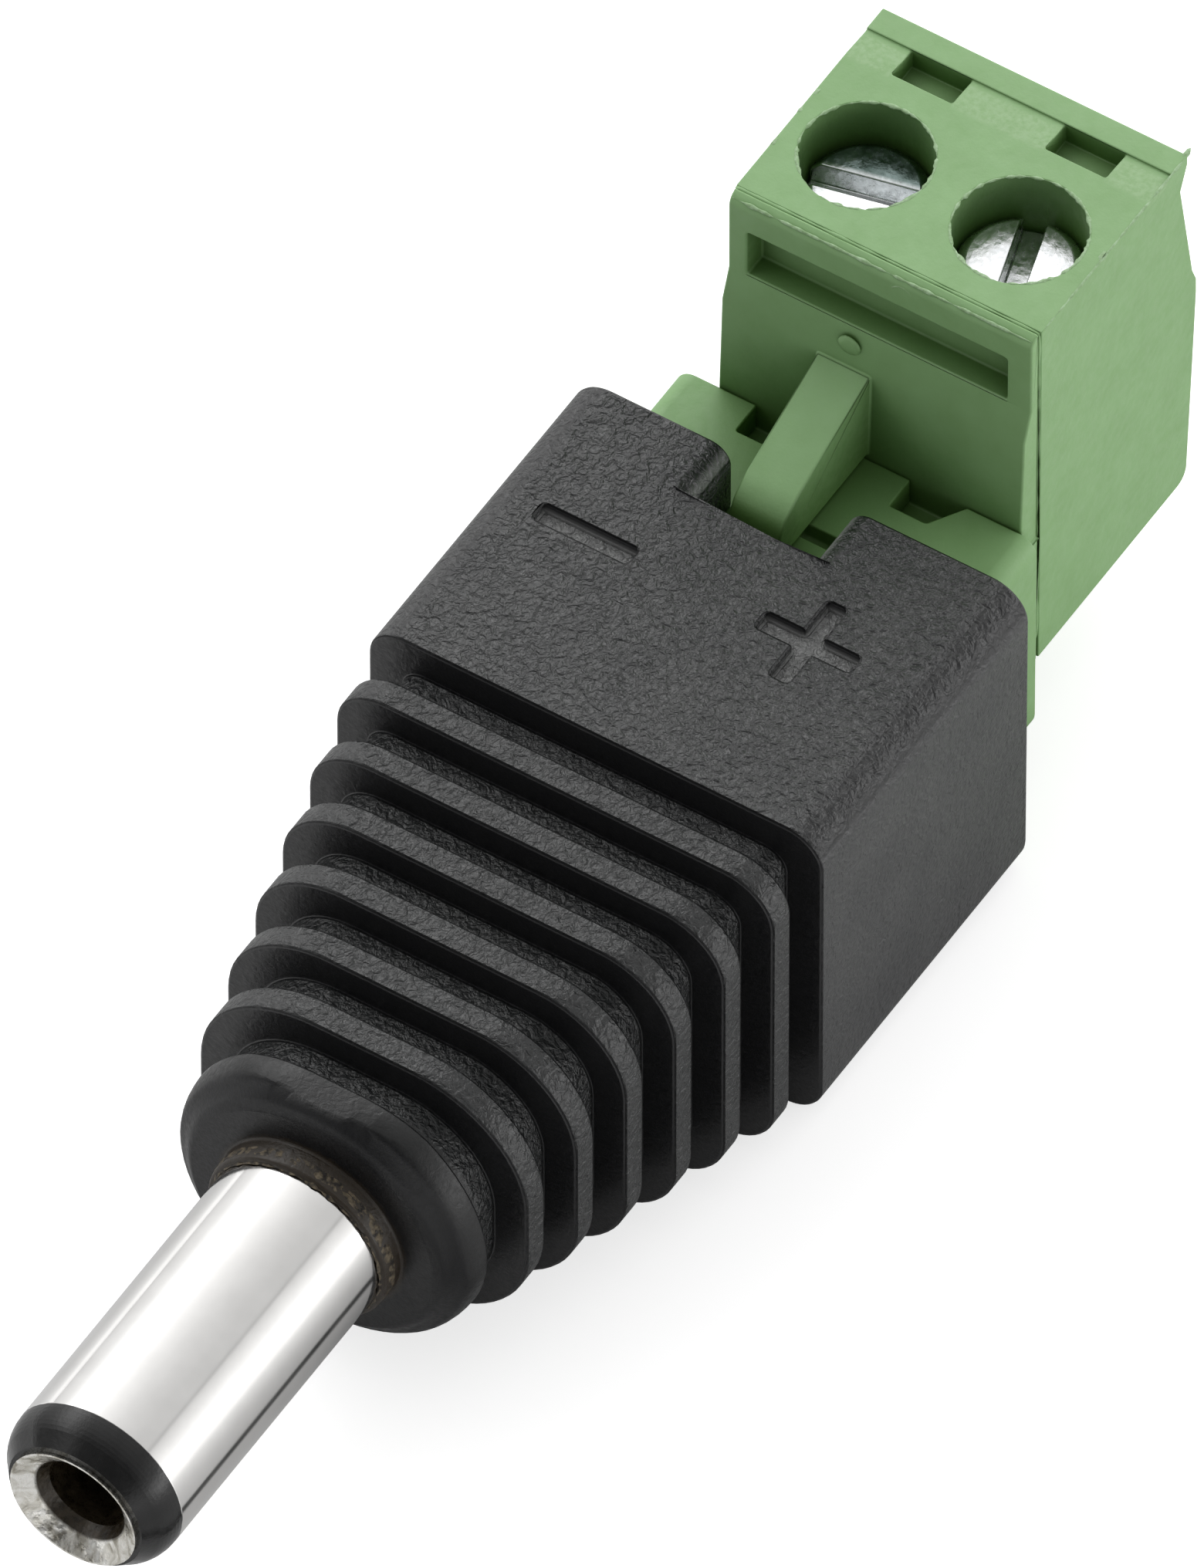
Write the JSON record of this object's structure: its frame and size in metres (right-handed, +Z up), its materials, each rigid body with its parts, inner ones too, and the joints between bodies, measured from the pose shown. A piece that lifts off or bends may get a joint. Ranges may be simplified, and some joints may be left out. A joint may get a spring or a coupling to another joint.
{
  "type": "dc barrel plug",
  "caption": "Coaxial DC barrel plug moulded into a ribbed boot, wired to a two-pole pluggable screw terminal that unplugs from its header.",
  "frame": {"origin": "point on the barrel axis where the bright sleeve leaves the boot", "axes": "+X along the barrel from its tip towards the screw terminal, +Z up towards the screw heads and the polarity marks, +Y towards the minus pole"},
  "size_m": [0.0505, 0.015, 0.0173],
  "materials": {
    "boot_plastic": "spark-eroded grain, matte",
    "bright_nickel": "bright nickel plate",
    "black_insulator": "satin",
    "tinned_metal": "dull tin plate",
    "lead_black": "satin",
    "lead_red": "satin",
    "green_plastic": "fine satin",
    "clamp_metal": "nickel plate",
    "screw_zinc": "zinc plate"
  },
  "bodies": {
    "adapter": {"boot": "boot_plastic", "barrel_sleeve": "bright_nickel", "tip_insulator": "black_insulator", "center_contact": "tinned_metal", "rear_bush": "tinned_metal", "sleeve_lug": "tinned_metal", "minus_lead": "lead_black", "plus_lead": "lead_red", "pin_header": "green_plastic", "minus_pin": "tinned_metal", "plus_pin": "tinned_metal"},
    "terminal": {"plug_front": "green_plastic", "plug_housing": "green_plastic", "minus_socket": "tinned_metal", "plus_socket": "tinned_metal"},
    "minus_screw": {"minus_screw": "screw_zinc"},
    "plus_screw": {"plus_screw": "screw_zinc"},
    "minus_cage": {"minus_cage": "clamp_metal"},
    "plus_cage": {"plus_cage": "clamp_metal"}
  },
  "joints": [
    {"name": "plug_slide", "type": "slide", "parent": "adapter", "child": "terminal", "axis": [1, 0, 0], "range_m": [0, 0.009]},
    {"name": "minus_screw_turn", "type": "hinge", "parent": "terminal", "child": "minus_screw", "pos_m": [0.03366, 0.00254, 0.008], "axis": [0, 0, 1], "range_deg": [-1800, 0]},
    {"name": "plus_screw_turn", "type": "hinge", "parent": "terminal", "child": "plus_screw", "pos_m": [0.03366, -0.00254, 0.008], "axis": [0, 0, 1], "range_deg": [-1800, 0]},
    {"name": "minus_cage_lift", "type": "slide", "parent": "terminal", "child": "minus_cage", "axis": [0, 0, 1], "range_m": [0, 0.0025]},
    {"name": "plus_cage_lift", "type": "slide", "parent": "terminal", "child": "plus_cage", "axis": [0, 0, 1], "range_m": [0, 0.0025]}
  ],
  "couplings": [
    {"joint": "minus_screw_turn", "follows": "minus_cage_lift", "rad_per_m": -12566},
    {"joint": "plus_screw_turn", "follows": "plus_cage_lift", "rad_per_m": -12566}
  ]
}
